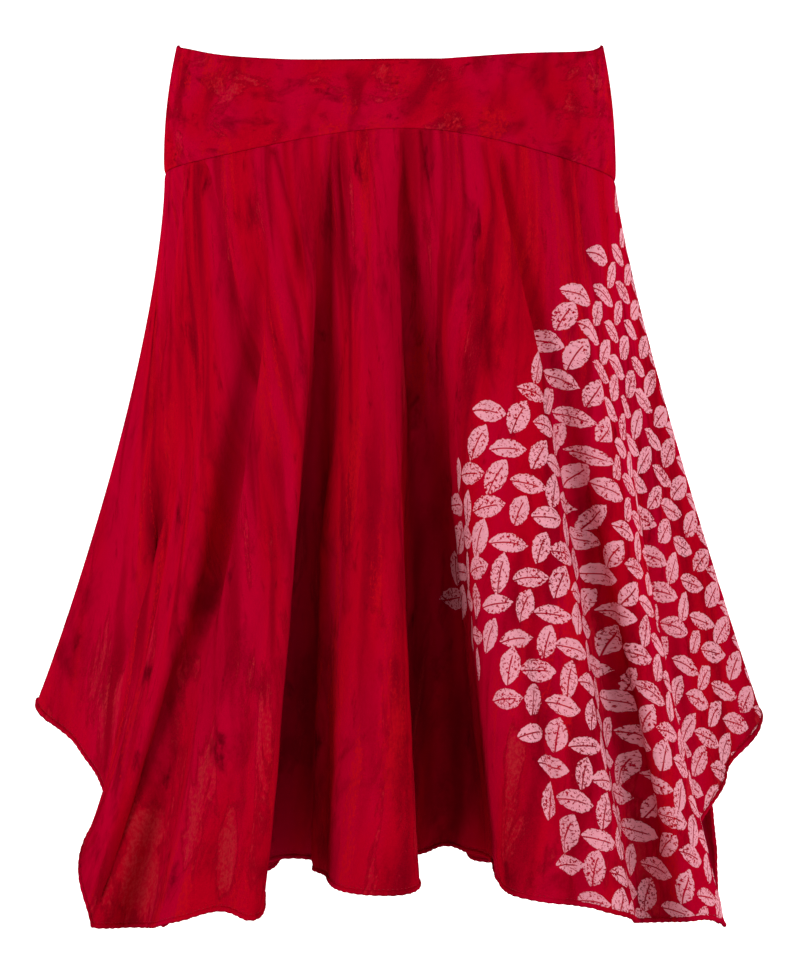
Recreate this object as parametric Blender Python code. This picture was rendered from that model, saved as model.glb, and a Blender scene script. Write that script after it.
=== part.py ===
"""A jersey skirt with a shaped yoke and a handkerchief hem, filled out as when worn, with nobody in it.

Metres, +Z up. The front faces -Y and the wearer's left is at +X. The origin is the centre of the waist, level
with the top of the side seams. Sizes and tables below are in millimetres and degrees. "Around" is an angle
round the body: 0 at the centre front, 90 at the right side of the front view, 180 at the centre back.
"""

import math
from collections import namedtuple

import bpy
from mathutils import Vector

COLLECTION = "athletic_skirt"
MM = 0.001

# Each cloth's colour, linear, and its roughness
YOKE_COLOR = (0.400, 0.006, 0.013)
YOKE_ROUGHNESS = 0.62
PANEL_COLOR = (0.434, 0.005, 0.018)
PANEL_ROUGHNESS = 0.60

# The waist and the yoke's lower edge, as half widths and half depths of a rounded section
WAIST_HALF_WIDTH = 161.0
WAIST_HALF_DEPTH = 115.0
HIP_HALF_WIDTH = 170.5
HIP_HALF_DEPTH = 125.0
SECTION_POWER = 2.15

# The waist edge dips at the front and rises a little at the back
WAIST_DIP_FRONT = 31.0
WAIST_RISE_BACK = 3.0

# The yoke seam lies YOKE_DEPTH under the side tops and arches up at the centre of each panel
YOKE_DEPTH = 102.5
YOKE_SLOPE = 3.0
YOKE_ARCH = 22.5
YOKE_ARCH_WIDTH = 40.0
YOKE_ARCH_FRONT = 5.0
YOKE_ARCH_BACK = 180.0

# How much sooner than its depth the yoke reaches its full width on the way down
YOKE_SWELL = 2.3

YOKE_WALL = 2.0
PANEL_WALL = 1.3
SEAM_GAP = 0.3
YOKE_SEAM_GAP = 0.4

# The depth under the origin at which the folds are laid out in plan
FULL_LENGTH = 640.0

YOKE_COLUMNS = 48
YOKE_ROWS = 5
PANEL_COLUMNS = 104
PANEL_ROWS = 15

LEFT_SIDE = -90.0
RIGHT_SIDE = 90.0

# A fold line runs from the yoke seam to the hem along a crest or a hollow of the cloth.
# around: where it leaves the seam. x, y, z: where it meets the hem. faces: the way the cloth faces there, in plan.
# spread: how broad the bend is, as a share of the distance to its neighbours. bow: 1 for a straight line, more
# for one that swings out late. corner: whether the hem turns a sharp corner there.
FoldLine = namedtuple("FoldLine", "name around x y z faces spread bow corner")

FRONT_FOLDS = [
    FoldLine("left side seam", -90, -267.5, 0, -500, -90, 0.50, 1.50, True),
    FoldLine("left edge", -82, -238, -33, -531, -48, 0.90, 1.60, False),
    FoldLine("left hollow", -74, -207, -85, -568, -90, 0.80, 1.70, False),
    FoldLine("left swell", -57, -222, -131, -597, -84, 0.90, 2.40, False),
    FoldLine("left corner", -43, -210, -150, -646, -20, 0.60, 1.90, True),
    FoldLine("hollow by the corner", -34, -181, -126, -650, -14, 0.80, 1.75, False),
    FoldLine("left apron", -27, -145, -184, -636, -24, 1.00, 1.70, False),
    FoldLine("apron dip", -22.5, -116, -190, -628, 0, 0.90, 1.50, False),
    FoldLine("narrow crest", -19, -95, -212, -631, 4, 0.55, 1.40, False),
    FoldLine("hollow left of centre", -14, -61, -50, -612, 0, 1.10, 1.30, False),
    FoldLine("centre crest", -4.5, -8, -200, -616, 0, 1.35, 1.15, False),
    FoldLine("hollow right of centre", 5, 42, -48, -607, 0, 0.95, 1.10, False),
    FoldLine("broad crest", 16, 116, -203, -621, 0, 1.10, 1.15, False),
    FoldLine("broad crest dip", 20.5, 140, -190, -626, 6, 0.90, 1.10, False),
    FoldLine("broad crest edge", 25, 158, -196, -630, 20, 0.90, 1.10, False),
    FoldLine("right hollow", 32, 184, -128, -646, 20, 0.85, 1.05, False),
    FoldLine("right swell", 45, 216, -156, -640, 45, 0.90, 1.15, False),
    FoldLine("right corner", 57, 241, -112, -652, 100, 0.60, 1.35, True),
    FoldLine("right notch", 66, 221, -90, -611, 98, 0.80, 1.35, False),
    FoldLine("right edge", 78, 257, -36, -541, 60, 0.80, 1.30, False),
    FoldLine("right side seam", 90, 282, 0, -509, 90, 0.50, 1.20, True),
]

BACK_FOLDS = [
    FoldLine("back right edge", 104, 255, 66, -600, 88, 0.90, 1.35, False),
    FoldLine("back right corner", 118, 264, 104, -686, 125, 0.60, 1.40, True),
    FoldLine("back right swell", 130, 214, 172, -664, 150, 0.90, 1.30, False),
    FoldLine("back right hollow", 139, 174, 112, -650, 170, 0.90, 1.25, False),
    FoldLine("back right crest", 151, 124, 203, -645, 178, 1.10, 1.20, False),
    FoldLine("back inner right hollow", 161, 82, 86, -634, 180, 0.95, 1.15, False),
    FoldLine("back centre crest", 172, 34, 206, -632, 180, 1.20, 1.15, False),
    FoldLine("back inner left hollow", 183, -14, 78, -630, 180, 0.95, 1.15, False),
    FoldLine("back left crest", 195, -66, 204, -634, 182, 1.10, 1.20, False),
    FoldLine("back left hollow", 207, -108, 104, -646, 188, 0.90, 1.30, False),
    FoldLine("back left swell", 221, -150, 176, -676, 204, 0.90, 1.40, False),
    FoldLine("back left corner", 238, -184, 118, -692, 240, 0.60, 1.50, True),
    FoldLine("back left edge", 254, -219, 56, -573, 262, 0.90, 1.60, False),
]

FOLDS = FRONT_FOLDS + BACK_FOLDS
RIGHT_SEAM_LINE = len(FRONT_FOLDS) - 1

# Steps between two fold lines when the hem is measured, and the small step that finds a normal
HEM_STEPS = 24
NORMAL_STEP = 0.002


def section_point(around, half_width, half_depth):
    """A point of the rounded section in plan, at an angle round the body."""
    sine = math.sin(math.radians(around))
    cosine = math.cos(math.radians(around))
    radius = (abs(sine) ** SECTION_POWER + abs(cosine) ** SECTION_POWER) ** (-1 / SECTION_POWER)
    return half_width * radius * sine, -half_depth * radius * cosine


def waist_height(around):
    cosine = math.cos(math.radians(around))
    return -WAIST_DIP_FRONT * cosine if cosine > 0 else -WAIST_RISE_BACK * cosine


def seam_height(around):
    """The yoke seam: a bell-shaped arch over the middle of the front, and one over the middle of the back."""
    turn = around % 360
    off_front = min(abs(turn - YOKE_ARCH_FRONT), 360 - abs(turn - YOKE_ARCH_FRONT))
    off_back = abs(turn - YOKE_ARCH_BACK)
    arch = math.exp(-((off_front / YOKE_ARCH_WIDTH) ** 2)) + math.exp(-((off_back / YOKE_ARCH_WIDTH) ** 2))
    return -YOKE_DEPTH - YOKE_SLOPE * math.sin(math.radians(around)) + YOKE_ARCH * arch


def yoke_point(around, down):
    """A point of the yoke, from the waist edge (down = 0) to the seam (down = 1)."""
    swell = 1 - (1 - down) ** YOKE_SWELL
    half_width = WAIST_HALF_WIDTH + (HIP_HALF_WIDTH - WAIST_HALF_WIDTH) * swell
    half_depth = WAIST_HALF_DEPTH + (HIP_HALF_DEPTH - WAIST_HALF_DEPTH) * down
    x, y = section_point(around, half_width, half_depth)
    top = waist_height(around)
    return x, y, top + (seam_height(around) - top) * down


def hermite(start, start_slope, end, end_slope, t):
    rise = t * t * (3 - 2 * t)
    return (
        start * (1 - rise)
        + end * rise
        + start_slope * t * (1 - t) ** 2
        - end_slope * t * t * (1 - t)
    )


def fold_line(index):
    """The fold line with this number, counted on round the body, and its angle carried past full turns."""
    turns, place = divmod(index, len(FOLDS))
    line = FOLDS[place]
    return line._replace(around=line.around + 360 * turns)


def full_corner(index):
    """Where a fold line would be in plan if the cloth went on to FULL_LENGTH, past or short of its own hem."""
    line = fold_line(index)
    top_x, top_y, top_z = yoke_point(line.around, 1.0)
    stretch = ((-FULL_LENGTH - top_z) / (line.z - top_z)) ** line.bow
    return top_x + (line.x - top_x) * stretch, top_y + (line.y - top_y) * stretch


def reach(index):
    """How far apart in plan a fold line and the next one are at the full length."""
    return math.dist(full_corner(index), full_corner(index + 1))


def steady_slope(index, column, towards):
    """A column's change for each millimetre between fold lines, which never makes it overshoot.

    A corner of the hem keeps a slope of its own on each side.
    """
    before, line, after = fold_line(index - 1), fold_line(index), fold_line(index + 1)
    back = (getattr(line, column) - getattr(before, column)) / reach(index - 1)
    ahead = (getattr(after, column) - getattr(line, column)) / reach(index)
    if line.corner and column == "z":
        return ahead if towards > 0 else back
    return 2 * back * ahead / (back + ahead) if back * ahead > 0 else 0.0


def along_folds(place, column):
    """A column of the table at any place between two fold lines."""
    index = math.floor(place)
    length = reach(index)
    return hermite(
        getattr(fold_line(index), column),
        steady_slope(index, column, 1) * length,
        getattr(fold_line(index + 1), column),
        steady_slope(index + 1, column, -1) * length,
        place - index,
    )


def full_point(place):
    """The folds in plan at the full length, as one smooth curve round the body."""
    index = math.floor(place)
    start, end = fold_line(index), fold_line(index + 1)
    start_way, end_way = math.radians(start.faces), math.radians(end.faces)
    start_speed = start.spread * reach(index)
    end_speed = end.spread * reach(index)
    (start_x, start_y), (end_x, end_y) = full_corner(index), full_corner(index + 1)
    share = place - index
    x = hermite(start_x, start_speed * math.cos(start_way), end_x, end_speed * math.cos(end_way), share)
    y = hermite(start_y, start_speed * math.sin(start_way), end_y, end_speed * math.sin(end_way), share)
    return x, y


def panel_point(place, down):
    """A point of a skirt panel, from the yoke seam (down = 0) to the hem (down = 1)."""
    top_x, top_y, top_z = yoke_point(along_folds(place, "around"), 1.0)
    z = top_z + (along_folds(place, "z") - top_z) * down
    out = ((z - top_z) / (-FULL_LENGTH - top_z)) ** along_folds(place, "bow")
    full_x, full_y = full_point(place)
    return top_x + (full_x - top_x) * out, top_y + (full_y - top_y) * out, z


def even_places(first, last, count):
    """Places between two fold lines that are evenly spaced along the hem."""
    steps = (last - first) * HEM_STEPS
    dense = [first + (last - first) * i / steps for i in range(steps + 1)]
    run = [0.0]
    for a, b in zip(dense, dense[1:]):
        run.append(run[-1] + math.dist(panel_point(a, 1.0), panel_point(b, 1.0)))
    places = []
    step = 0
    for i in range(count + 1):
        target = run[-1] * i / count
        while step < steps - 1 and run[step + 1] < target:
            step += 1
        share = (target - run[step]) / (run[step + 1] - run[step])
        places.append(dense[step] + (dense[step + 1] - dense[step]) * share)
    return places


def lofted_wall(surface, acrosses, downs, wall):
    """The corners and faces of a wall of cloth lofted through sections of a surface.

    surface(across, down) gives a point. Each half of the wall lies along the surface's own normal, so that two
    pieces of one surface keep an even gap at their seam.
    """
    rows = len(downs)
    columns = len(acrosses)
    points = []
    for side in (0.5, -0.5):
        for down in downs:
            for place in acrosses:
                middle = surface(inset(surface, place, down, acrosses[0], acrosses[-1]), down)
                normal = normal_of(surface, place, down)
                points.append(tuple((m + n * side * wall) * MM for m, n in zip(middle, normal)))

    def corner(side, row, column):
        return side * rows * columns + row * columns + column

    faces = []
    for r in range(rows - 1):
        for c in range(columns - 1):
            outer = [corner(0, *at) for at in ((r, c), (r + 1, c), (r + 1, c + 1), (r, c + 1))]
            inner = [corner(1, *at) for at in ((r, c), (r, c + 1), (r + 1, c + 1), (r + 1, c))]
            faces += [outer, inner]
    for r in range(rows - 1):
        for c, (upper, lower) in ((0, (r, r + 1)), (columns - 1, (r + 1, r))):
            faces.append([corner(0, lower, c), corner(0, upper, c), corner(1, upper, c), corner(1, lower, c)])
    for c in range(columns - 1):
        for r, (near, far) in ((0, (c + 1, c)), (rows - 1, (c, c + 1))):
            faces.append([corner(0, r, far), corner(0, r, near), corner(1, r, near), corner(1, r, far)])
    return points, faces


def inset(surface, across, down, first, last):
    """The same place, moved in by half a seam gap where it is the piece's first or last."""
    if across not in (first, last):
        return across
    inwards = NORMAL_STEP if across == first else -NORMAL_STEP
    return across + inwards * SEAM_GAP / 2 / math.dist(surface(across, down), surface(across + inwards, down))


def normal_of(surface, across, down):
    """The outward unit normal of a surface, from points a small step to each side."""
    step = NORMAL_STEP
    low, high = max(down - step, 0.0), min(down + step, 1.0)
    along = [b - a for a, b in zip(surface(across - step, down), surface(across + step, down))]
    fall = [b - a for a, b in zip(surface(across, low), surface(across, high))]
    return Vector(fall).cross(Vector(along)).normalized()


def cloth_object(name, points, faces, material):
    mesh = bpy.data.meshes.new(name)
    mesh.from_pydata(points, [], faces)
    mesh.materials.append(material)
    obj = bpy.data.objects.new(name, mesh)
    bpy.data.collections[COLLECTION].objects.link(obj)
    return obj


def dyed_cloth(name, color, roughness):
    material = bpy.data.materials.new(name)
    material.use_nodes = True
    surface = material.node_tree.nodes["Principled BSDF"]
    surface.inputs["Base Color"].default_value = (*color, 1.0)
    surface.inputs["Roughness"].default_value = roughness
    surface.inputs["Metallic"].default_value = 0.0
    material.diffuse_color = (*color, 1.0)
    return material


def evenly(start, end, count):
    return [start + (end - start) * i / count for i in range(count + 1)]


def yoke_piece(name, start, end, material):
    """A yoke between two side seams. Its last row stops half a gap above the yoke seam."""
    acrosses = evenly(start, end, YOKE_COLUMNS)

    def surface(around, down):
        height = waist_height(around) - seam_height(around)
        return yoke_point(around, down * (1 - YOKE_SEAM_GAP / 2 / height))

    points, faces = lofted_wall(surface, acrosses, evenly(0.0, 1.0, YOKE_ROWS), YOKE_WALL)
    cloth_object(name, points, faces, material)


def panel_piece(name, first, last, material):
    """A skirt panel between two side seams. Its first row starts half a gap below the yoke seam."""

    def surface(place, down):
        length = seam_height(along_folds(place, "around")) - along_folds(place, "z")
        start = YOKE_SEAM_GAP / 2 / length
        return panel_point(place, start + (1 - start) * down)

    places = even_places(first, last, PANEL_COLUMNS)
    downs = evenly(0.0, 1.0, PANEL_ROWS)
    points, faces = lofted_wall(surface, places, downs, PANEL_WALL)
    cloth_object(name, points, faces, material)


def clear_scene():
    for obj in list(bpy.data.objects):
        bpy.data.objects.remove(obj, do_unlink=True)
    collection = bpy.data.collections.new(COLLECTION)
    bpy.context.scene.collection.children.link(collection)


def build():
    clear_scene()
    yoke_cloth = dyed_cloth("yoke jersey", YOKE_COLOR, YOKE_ROUGHNESS)
    panel_cloth = dyed_cloth("panel jersey", PANEL_COLOR, PANEL_ROUGHNESS)
    yoke_piece("front_yoke", LEFT_SIDE, RIGHT_SIDE, yoke_cloth)
    yoke_piece("back_yoke", RIGHT_SIDE, LEFT_SIDE + 360, yoke_cloth)
    panel_piece("front_panel", 0, RIGHT_SEAM_LINE, panel_cloth)
    panel_piece("back_panel", RIGHT_SEAM_LINE, len(FOLDS), panel_cloth)


build()
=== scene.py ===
"""The looks of the jersey skirt: thin cloth shells on the solids' forms, with creases, hems, dye and print.

The table of folds below is that of the part's source, but nine of its lines are moved by 1 to 14
millimetres, and a few turn tighter or wider. Sizes are in millimetres and degrees unless a comment says
otherwise. "Place" counts the fold lines round the skirt from the left side seam: 0 is that seam, 20 is the
right side seam, and 34 is the left side seam again.
"""

import math
from collections import namedtuple

import bmesh
import bpy
import numpy as np
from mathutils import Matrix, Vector, noise


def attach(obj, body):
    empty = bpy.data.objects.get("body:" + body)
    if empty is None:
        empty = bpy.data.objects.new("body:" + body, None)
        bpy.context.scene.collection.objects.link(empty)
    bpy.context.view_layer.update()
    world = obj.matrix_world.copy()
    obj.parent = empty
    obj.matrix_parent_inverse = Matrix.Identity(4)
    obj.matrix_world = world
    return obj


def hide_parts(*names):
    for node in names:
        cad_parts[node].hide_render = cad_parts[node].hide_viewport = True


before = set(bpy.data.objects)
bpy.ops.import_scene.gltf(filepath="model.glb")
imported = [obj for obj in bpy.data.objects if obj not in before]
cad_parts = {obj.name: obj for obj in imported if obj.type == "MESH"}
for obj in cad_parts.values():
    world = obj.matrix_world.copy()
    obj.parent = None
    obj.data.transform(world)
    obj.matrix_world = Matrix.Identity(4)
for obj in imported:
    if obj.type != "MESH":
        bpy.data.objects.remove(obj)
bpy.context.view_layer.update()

MM = 0.001

# The waist and the yoke's lower edge, as half widths and half depths of a rounded section
WAIST_HALF_WIDTH = 161.0
WAIST_HALF_DEPTH = 115.0
HIP_HALF_WIDTH = 170.5
HIP_HALF_DEPTH = 125.0
SECTION_POWER = 2.15

# The waist edge and the yoke seam
WAIST_DIP_FRONT = 31.0
WAIST_RISE_BACK = 3.0
YOKE_DEPTH = 102.5
YOKE_SLOPE = 3.0
YOKE_ARCH = 22.5
YOKE_ARCH_WIDTH = 40.0
YOKE_ARCH_FRONT = 5.0
YOKE_ARCH_BACK = 180.0
YOKE_SWELL = 2.3

# The depth under the origin at which the folds are laid out in plan
FULL_LENGTH = 640.0

LEFT_SIDE = -90.0
RIGHT_SIDE = 90.0

# The cloth: the yoke is two layers of the jersey that the panels are made of
YOKE_CLOTH = 1.8
PANEL_CLOTH = 1.1

# The columns and rows of the shells, and the length for which a panel's rows are laid out
PANEL_COLUMNS = 318
PANEL_ROWS = 138
PANEL_LENGTH = 500.0
YOKE_COLUMNS = 190
YOKE_ROWS = 56

# How many steps the hem takes between two fold lines while it is measured, how far past its side seams a
# panel is laid out, in places, and over how many rows the way down at the hem is read
HEM_STEPS = 24
PAST_SEAM = 0.01
HEM_WAY_ROWS = 4

# Rows close to an edge, so that it rounds off: their distances from it, and the shares of the cloth's
# thickness that the row next to the edge stands out to each side, above and below and at the sides
LIPS = (0.0, 0.35, 0.9, 1.7, 2.8, 4.2, 6.0)
LIP_WALL = 0.36
SIDE_LIP_WALL = 0.42

# A seam draws the cloth in along its line
SEAM_DITCH = 0.9
SEAM_DITCH_WIDTH = 2.2

# Creases fade out over this distance from a seam
SEAM_FADE = 12.0

# How far the cloth wanders from its smooth form, over what distances across and down, how far down it does
# so fully, and where in the noise the finer half lies
WANDER = 0.9
WANDER_ACROSS = 34.0
WANDER_DOWN = 120.0
WANDER_START = 60.0
WANDER_FINER = 7
YOKE_WANDER = 0.8

# The rolled hem: an oval roll round the edge of the cloth, puckered by the row of stitches over it
ROLL_OUT = 1.5
ROLL_DOWN = 1.85
ROLL_LIFT = 1.0
ROLL_STEP = 1.7
ROLL_SIDES = 10
ROLL_UNEVEN = 0.12
ROLL_UNEVEN_LENGTH = 19.0
ROLL_SLICE = 0.4
PUCKER = 0.13
PUCKER_PITCH = 6.6
PUCKER_DRIFT = 2.5
HEM_DITCH = 0.55
HEM_DITCH_WIDTH = 1.2
HEM_WAVE = 1.1
HEM_WAVE_LENGTH = 24.0
HEM_WAVE_REACH = 45.0
HEM_WAVE_SEED = 5.3
HEM_WAVE_SLICE = 0.7
STITCH_LENGTH = 2.4
STITCH_PITCH = 3.2
STITCH_RADIUS = 0.27
STITCH_TAPER = 0.8
STITCH_SINK = 1.3
STITCH_STAND = 0.2
STITCH_RISE = 3.7
STITCH_RINGS = 5
STITCH_SIDES = 6

# Where the waist edge stands a little higher. The swell at the back shows over the front's edge.
Swell = namedtuple("Swell", "around width height")
WAIST_SWELLS = [Swell(-66.0, 14.0, 1.8), Swell(34.0, 24.0, 3.4), Swell(176.0, 46.0, 5.6)]

# The number of each cloth, which also seeds its noise
FRONT_PANEL = 1
BACK_PANEL = 2
FRONT_YOKE = 3
BACK_YOKE = 4

# What each piece was cut to, in metres and square metres: the box round its flat shape, and its area
Cut = namedtuple("Cut", "box area")
FRONT_CUT = Cut((1.12, 0.66), 0.445)
BACK_CUT = Cut((1.13, 0.67), 0.453)
FRONT_YOKE_CUT = Cut((0.50, 0.13), 0.034)
BACK_YOKE_CUT = Cut((0.52, 0.14), 0.044)

# A fold line leaves the yoke seam at the angle around, and comes to x, y, z at the hem. faces: the way
# along the cloth there, in plan. spread: how far it keeps that way. bow: how late the cloth flares out.
# corner: whether the hem turns sharply there.
FoldLine = namedtuple("FoldLine", "name around x y z faces spread bow corner")
FOLDS = [
    FoldLine("left side seam", -90, -269, 0, -499, -90, 0.22, 1.50, True),
    FoldLine("left edge", -82, -234, -33, -530, -48, 0.90, 1.60, False),
    FoldLine("left hollow", -74, -207, -85, -568, -90, 0.80, 1.70, False),
    FoldLine("left swell", -57, -220, -131, -597, -84, 0.90, 3.10, False),
    FoldLine("left corner", -43, -210, -150, -646, -20, 0.60, 1.90, True),
    FoldLine("hollow by the corner", -34, -181, -126, -650, -14, 0.80, 1.75, False),
    FoldLine("left apron", -27, -145, -184, -636, -24, 1.00, 1.70, False),
    FoldLine("apron dip", -22.5, -116, -190, -628, 0, 0.90, 1.50, False),
    FoldLine("narrow crest", -19, -95, -212, -631, 4, 0.55, 1.40, False),
    FoldLine("hollow left of centre", -14, -70, -60, -610, -6, 1.00, 1.30, False),
    FoldLine("centre crest", -4.5, -8, -199, -616, -12, 1.30, 1.15, False),
    FoldLine("hollow right of centre", 5, 42, -48, -607, 0, 1.25, 1.10, False),
    FoldLine("broad crest", 16, 116, -203, -621, 0, 1.35, 1.15, False),
    FoldLine("broad crest dip", 20.5, 140, -190, -626, 6, 0.90, 1.10, False),
    FoldLine("broad crest edge", 25, 158, -196, -630, 20, 0.90, 1.10, False),
    FoldLine("right hollow", 32, 184, -128, -646, 20, 0.85, 1.05, False),
    FoldLine("right swell", 45, 216, -156, -640, 45, 0.90, 1.15, False),
    FoldLine("right corner", 57, 241, -112, -652, 100, 0.60, 1.35, True),
    FoldLine("right notch", 66, 221, -90, -611, 98, 0.80, 1.35, False),
    FoldLine("right edge", 78, 251, -36, -552, 60, 0.80, 1.30, False),
    FoldLine("right side seam", 90, 282, 0, -507, 90, 0.24, 1.20, True),
    FoldLine("back right edge", 104, 253, 66, -590, 88, 0.90, 1.35, False),
    FoldLine("back right corner", 118, 264, 104, -686, 125, 0.60, 1.40, True),
    FoldLine("back right swell", 130, 214, 172, -664, 150, 0.90, 1.30, False),
    FoldLine("back right hollow", 139, 174, 112, -650, 170, 0.90, 1.25, False),
    FoldLine("back right crest", 151, 124, 203, -645, 178, 1.10, 1.20, False),
    FoldLine("back inner right hollow", 161, 82, 86, -634, 180, 0.95, 1.15, False),
    FoldLine("back centre crest", 172, 34, 206, -632, 180, 1.20, 1.15, False),
    FoldLine("back inner left hollow", 183, -14, 78, -630, 180, 0.95, 1.15, False),
    FoldLine("back left crest", 195, -66, 204, -634, 182, 1.10, 1.20, False),
    FoldLine("back left hollow", 207, -108, 104, -646, 188, 0.90, 1.30, False),
    FoldLine("back left swell", 221, -150, 176, -676, 204, 0.90, 1.40, False),
    FoldLine("back left corner", 238, -184, 118, -692, 240, 0.60, 1.50, True),
    FoldLine("back left edge", 254, -219, 56, -560, 262, 0.90, 1.60, False),
]
RIGHT_SEAM_LINE = 20

# A crease runs down the cloth between two places. top, foot: how far under the yoke seam it starts and
# ends. depth: inwards, or outwards for a ridge. width: half its width. lead, trail: the shares of its
# length over which it fades in and out.
Crease = namedtuple("Crease", "start end top foot depth width lead trail")

FRONT_CREASES = [
    Crease(1.60, 1.55, 0, 90, 3.0, 4.0, 0.05, 0.60),
    Crease(2.70, 1.20, 0, 250, 5.0, 6.0, 0.10, 0.35),
    Crease(2.80, 1.35, 180, 430, 11.0, 9.0, 0.35, 0.35),
    Crease(3.10, 3.45, 200, 500, -6.0, 9.0, 0.30, 0.30),
    Crease(3.35, 5.05, 0, 165, 5.4, 3.4, 0.04, 0.40),
    Crease(4.25, 4.45, 150, 380, -5.0, 8.0, 0.35, 0.40),
    Crease(5.40, 4.85, 30, 420, 16.0, 8.5, 0.35, 0.30),
    Crease(4.75, 3.95, 330, 560, 15.0, 9.0, 0.35, 0.15),
    Crease(5.70, 8.50, 0, 140, 5.4, 3.2, 0.04, 0.40),
    Crease(5.75, 5.75, 330, 560, 7.0, 6.0, 0.35, 0.20),
    Crease(6.60, 6.70, 120, 330, -4.0, 8.0, 0.40, 0.50),
    Crease(7.20, 7.40, 30, 190, 3.0, 5.0, 0.30, 0.50),
    Crease(8.97, 8.97, 0, 90, 4.0, 2.6, 0.05, 0.60),
    Crease(8.95, 9.00, 0, 330, 8.0, 5.0, 0.25, 0.60),
    Crease(8.75, 8.75, 250, 560, 7.0, 9.0, 0.30, 0.10),
    Crease(9.42, 9.40, 170, 560, -11.0, 15.0, 0.35, 0.10),
    Crease(9.20, 9.65, 0, 170, 4.2, 2.6, 0.05, 0.70),
    Crease(9.90, 9.95, 30, 230, 4.0, 4.0, 0.30, 0.50),
    Crease(10.80, 10.90, 0, 90, 3.0, 2.6, 0.05, 0.60),
    Crease(10.85, 11.00, 0, 330, 14.0, 5.4, 0.28, 0.60),
    Crease(11.00, 11.00, 180, 560, 20.0, 9.5, 0.30, 0.10),
    Crease(11.25, 11.60, 0, 110, 3.4, 2.6, 0.03, 0.60),
    Crease(11.42, 11.30, 180, 520, -4.0, 6.0, 0.30, 0.30),
    Crease(12.10, 12.40, 0, 70, 2.2, 3.0, 0.06, 0.60),
    Crease(13.00, 12.10, 40, 240, 7.0, 6.0, 0.30, 0.40),
    Crease(12.10, 12.75, 290, 560, 6.0, 7.0, 0.30, 0.15),
    Crease(14.30, 15.05, 0, 200, 10.0, 5.5, 0.10, 0.40),
    Crease(13.40, 14.30, 0, 110, 4.0, 3.0, 0.05, 0.60),
    Crease(15.05, 15.40, 140, 540, 13.0, 9.0, 0.30, 0.20),
    Crease(15.90, 16.10, 60, 300, -3.6, 8.0, 0.30, 0.40),
    Crease(16.60, 16.90, 0, 140, 4.0, 3.6, 0.08, 0.60),
    Crease(18.25, 18.50, 200, 430, 6.0, 8.0, 0.40, 0.40),
]

BACK_CREASES = [
    Crease(20.90, 21.10, 120, 420, 3.2, 9.0, 0.40, 0.40),
    Crease(22.10, 22.60, 0, 170, 1.8, 4.5, 0.06, 0.60),
    Crease(22.60, 22.30, 170, 480, 4.5, 9.0, 0.40, 0.30),
    Crease(23.60, 24.00, 0, 220, 4.0, 6.5, 0.15, 0.50),
    Crease(24.90, 24.60, 0, 110, 1.5, 3.4, 0.05, 0.60),
    Crease(25.95, 26.05, 0, 240, 3.8, 6.0, 0.12, 0.50),
    Crease(26.80, 26.95, 40, 190, 1.5, 4.5, 0.20, 0.60),
    Crease(27.95, 28.05, 0, 250, 4.2, 6.0, 0.12, 0.50),
    Crease(28.60, 28.30, 0, 90, 1.6, 3.0, 0.05, 0.60),
    Crease(29.80, 30.05, 0, 260, 4.0, 6.5, 0.15, 0.45),
    Crease(30.90, 30.60, 120, 420, -3.4, 9.0, 0.35, 0.40),
    Crease(31.40, 31.60, 0, 200, 2.4, 5.0, 0.08, 0.50),
    Crease(31.90, 32.40, 230, 560, 5.0, 9.0, 0.35, 0.20),
    Crease(32.70, 33.30, 60, 330, 2.8, 8.0, 0.30, 0.50),
]


def section_point(around, half_width, half_depth):
    """A point of the rounded section in plan, at an angle round the body."""
    sine = math.sin(math.radians(around))
    cosine = math.cos(math.radians(around))
    radius = (abs(sine) ** SECTION_POWER + abs(cosine) ** SECTION_POWER) ** (-1 / SECTION_POWER)
    return half_width * radius * sine, -half_depth * radius * cosine


def waist_height(around):
    cosine = math.cos(math.radians(around))
    return -WAIST_DIP_FRONT * cosine if cosine > 0 else -WAIST_RISE_BACK * cosine


def seam_height(around):
    """The yoke seam's height, with a bell-shaped arch over the middle of the front and of the back."""
    turn = around % 360
    off_front = min(abs(turn - YOKE_ARCH_FRONT), 360 - abs(turn - YOKE_ARCH_FRONT))
    off_back = abs(turn - YOKE_ARCH_BACK)
    arch = sum(math.exp(-((off / YOKE_ARCH_WIDTH) ** 2)) for off in (off_front, off_back))
    return -YOKE_DEPTH - YOKE_SLOPE * math.sin(math.radians(around)) + YOKE_ARCH * arch


def yoke_point(around, down):
    """A point of the yoke, from the waist edge (down = 0) to the seam (down = 1)."""
    swell = 1 - (1 - down) ** YOKE_SWELL
    half_width = WAIST_HALF_WIDTH + (HIP_HALF_WIDTH - WAIST_HALF_WIDTH) * swell
    half_depth = WAIST_HALF_DEPTH + (HIP_HALF_DEPTH - WAIST_HALF_DEPTH) * down
    x, y = section_point(around, half_width, half_depth)
    top = waist_height(around)
    return x, y, top + (seam_height(around) - top) * down


def hermite(start, start_slope, end, end_slope, t):
    """A smooth way from one value to another, with a slope given at each."""
    rise = t * t * (3 - 2 * t)
    return start * (1 - rise) + end * rise + start_slope * t * (1 - t) ** 2 - end_slope * t * t * (1 - t)


def fold_line(index):
    """The fold line with this number, counted on round the body, and its angle carried past full turns."""
    turns, place = divmod(index, len(FOLDS))
    line = FOLDS[place]
    return line._replace(around=line.around + 360 * turns)


def full_corner(index):
    """Where a fold line would be in plan if the cloth ended at FULL_LENGTH, past or short of its own hem."""
    line = fold_line(index)
    top_x, top_y, top_z = yoke_point(line.around, 1.0)
    stretch = ((-FULL_LENGTH - top_z) / (line.z - top_z)) ** line.bow
    return top_x + (line.x - top_x) * stretch, top_y + (line.y - top_y) * stretch


def reach(index):
    """How far apart in plan a fold line and the next one are at the full length."""
    return math.dist(full_corner(index), full_corner(index + 1))


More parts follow.
